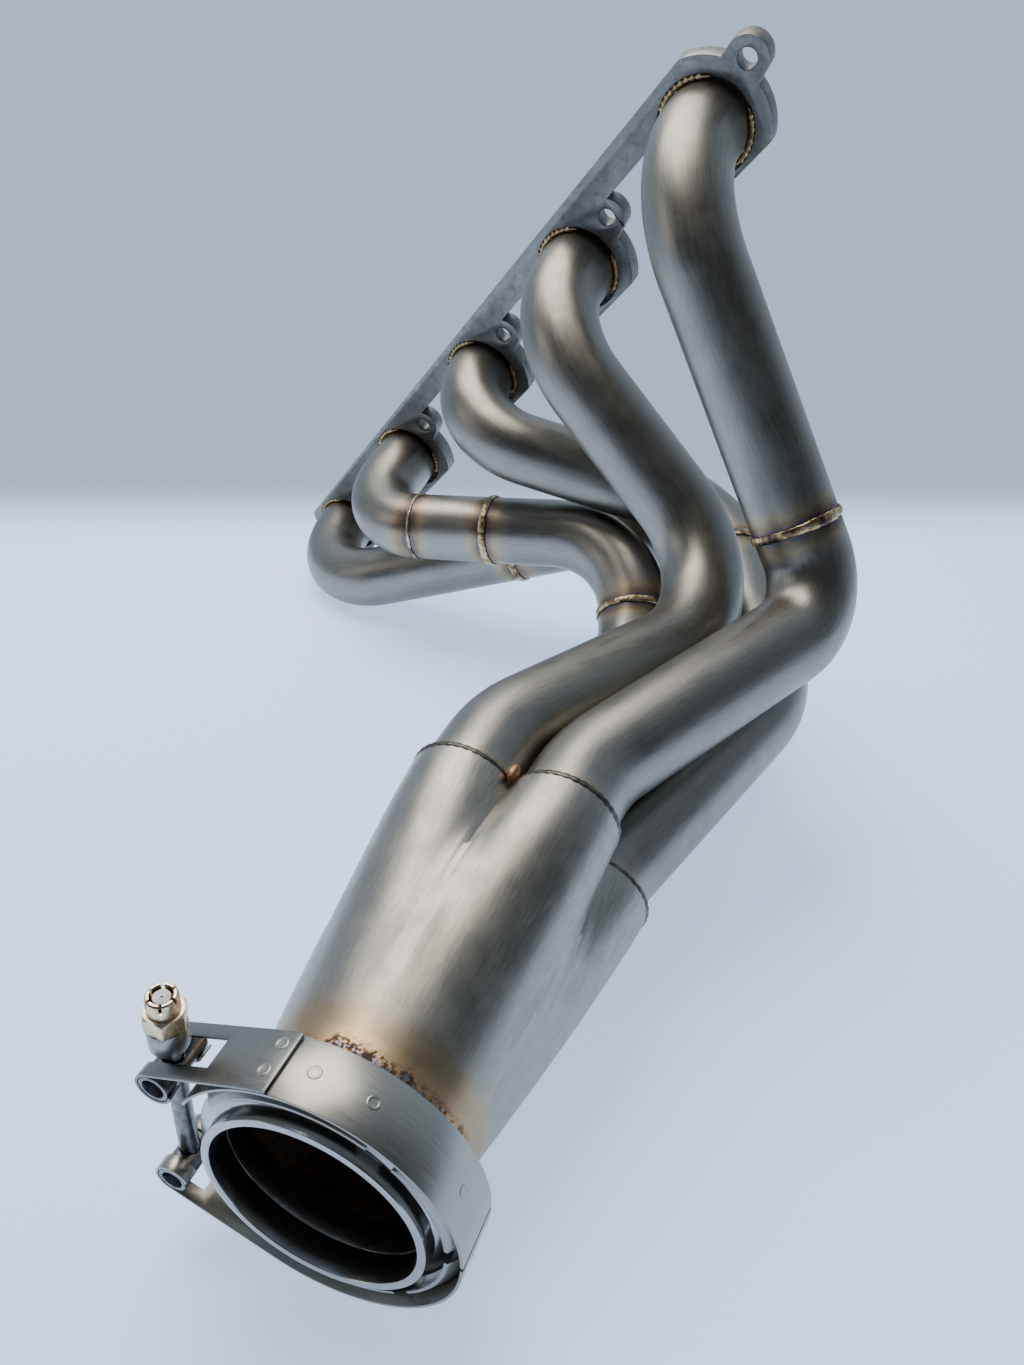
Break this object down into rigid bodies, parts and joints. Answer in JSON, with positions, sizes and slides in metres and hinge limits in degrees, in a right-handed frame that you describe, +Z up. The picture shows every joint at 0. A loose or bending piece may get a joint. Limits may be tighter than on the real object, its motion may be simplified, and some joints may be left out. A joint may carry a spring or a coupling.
{
  "type": "exhaust manifold",
  "caption": "Exhaust manifold: bolted port plate, curved tubes merging in one collector, and a band clamp with a closing screw on its outlet.",
  "frame": {"origin": "middle of the bounding box, on the floor the manifold lies on", "axes": "+Z up as it lies, -Y the way the outlet faces, +X to the right seen from the outlet"},
  "size_m": [0.494, 0.6256, 0.4221],
  "materials": {
    "plate_steel": "rough ground",
    "tube_steel": "satin",
    "bead_steel": "heat tinted",
    "band_steel": "brushed",
    "dark_steel": "satin",
    "gold_plate": "plated"
  },
  "bodies": {
    "manifold": {"collector_shell": "tube_steel", "collector_star": "tube_steel", "head_flange": "plate_steel", "joint_weld_a": "bead_steel", "joint_weld_c": "bead_steel", "joint_weld_d_1": "bead_steel", "joint_weld_d_2": "bead_steel", "joint_weld_d_3": "bead_steel", "joint_weld_e": "bead_steel", "outlet_flange": "tube_steel", "port_weld_a": "bead_steel", "port_weld_b": "bead_steel", "port_weld_c": "bead_steel", "port_weld_d": "bead_steel", "port_weld_e": "bead_steel", "tube_a_lower": "tube_steel", "tube_a_upper": "tube_steel", "tube_b": "tube_steel", "tube_c_lower": "tube_steel", "tube_c_upper": "tube_steel", "tube_d_insert": "tube_steel", "tube_d_lower": "tube_steel", "tube_d_middle": "tube_steel", "tube_d_upper": "tube_steel", "tube_e_lower": "tube_steel", "tube_e_upper": "tube_steel"},
    "outlet_ring": {"mating_ring": "band_steel"},
    "clamp_fixed": {"clamp_strap_fixed": "band_steel", "tongue_plate": "band_steel", "retainer_1": "band_steel", "retainer_2": "band_steel"},
    "clamp_swing": {"clamp_strap_swing": "band_steel", "retainer_3": "band_steel", "retainer_4": "band_steel"},
    "upper_barrel": {"upper_trunnion": "dark_steel"},
    "screw": {"lower_trunnion": "dark_steel", "t_bolt": "dark_steel"},
    "collar": {"bolt_collar": "band_steel"},
    "nut": {"clamp_nut": "gold_plate"}
  },
  "joints": [
    {"name": "ring_turn", "type": "hinge", "parent": "manifold", "child": "outlet_ring", "pos_m": [0.11658, -0.31035, 0.05921], "axis": [-0.0001, -0.9986, -0.0527], "continuous": true},
    {"name": "clamp_turn", "type": "hinge", "parent": "manifold", "child": "clamp_fixed", "pos_m": [0.11658, -0.29587, 0.05998], "axis": [-0.0001, -0.9986, -0.0527], "continuous": true},
    {"name": "strap_closing", "type": "hinge", "parent": "clamp_fixed", "child": "clamp_swing", "pos_m": [0.17523, -0.29565, 0.05584], "axis": [0.0001, 0.9986, 0.0527], "range_deg": [0, 2]},
    {"name": "upper_barrel_turn", "type": "hinge", "parent": "clamp_fixed", "child": "upper_barrel", "pos_m": [0.05498, -0.2977, 0.09465], "axis": [0.0001, 0.9986, 0.0527], "range_deg": [-0.2, 2]},
    {"name": "screw_swing", "type": "hinge", "parent": "clamp_swing", "child": "screw", "pos_m": [0.04909, -0.2945, 0.03406], "axis": [0.0001, 0.9986, 0.0527], "range_deg": [-2, 2]},
    {"name": "collar_travel", "type": "slide", "parent": "screw", "child": "collar", "axis": [0.0966, -0.0525, 0.9939], "range_m": [-0.006, 0.0002]},
    {"name": "nut_spin", "type": "hinge", "parent": "collar", "child": "nut", "pos_m": [0.05798, -0.29933, 0.1255], "axis": [0.0966, -0.0525, 0.9939], "continuous": true}
  ],
  "couplings": [
    {"joint": "upper_barrel_turn", "follows": "strap_closing", "ratio": 0.5603},
    {"joint": "screw_swing", "follows": "strap_closing", "ratio": -0.4397},
    {"joint": "collar_travel", "follows": "strap_closing", "m_per_rad": -0.1237}
  ]
}
